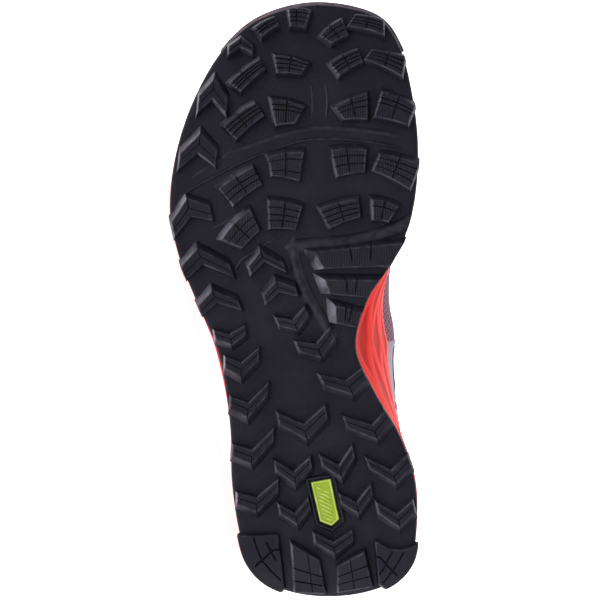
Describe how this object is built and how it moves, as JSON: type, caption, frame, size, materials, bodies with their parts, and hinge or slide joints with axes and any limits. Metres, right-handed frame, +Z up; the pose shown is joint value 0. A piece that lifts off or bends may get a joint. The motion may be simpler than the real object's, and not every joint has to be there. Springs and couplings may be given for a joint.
{
  "type": "trail running shoe",
  "caption": "Low trail running shoe for the right foot: lugged rubber outsole, foam midsole, hollow mesh upper, padded tongue, laces and insole, lying on its outer side.",
  "frame": {"origin": "centre of the bounding box's base, on the ground the shoe lies on", "axes": "+Z up; the toe points to -X, the tread faces -Y and a little up, the outer side is down on the ground"},
  "size_m": [0.2784, 0.1312, 0.1205],
  "materials": {
    "rubber": "matt moulded rubber, blue-black",
    "badge_rubber": "satin lime rubber, plain",
    "foam": "satin moulded foam skin, coral",
    "bumper_rubber": "satin rubber film, plum",
    "mesh": "woven mesh, mauve",
    "trim": "matt welded film, dark plum",
    "lining": "soft knit, lilac grey",
    "insole_cloth": "brushed cloth on foam, lilac grey",
    "lace_cloth": "flat woven lace, coral"
  },
  "bodies": {
    "root": {"outsole": "rubber", "heel_badge": "badge_rubber", "midsole": "foam", "toe_bumper": "bumper_rubber", "upper": "mesh", "eyestay": "trim", "heel_counter": "trim", "tongue": "lining", "insole": "insole_cloth", "lace": "lace_cloth"}
  },
  "joints": []
}
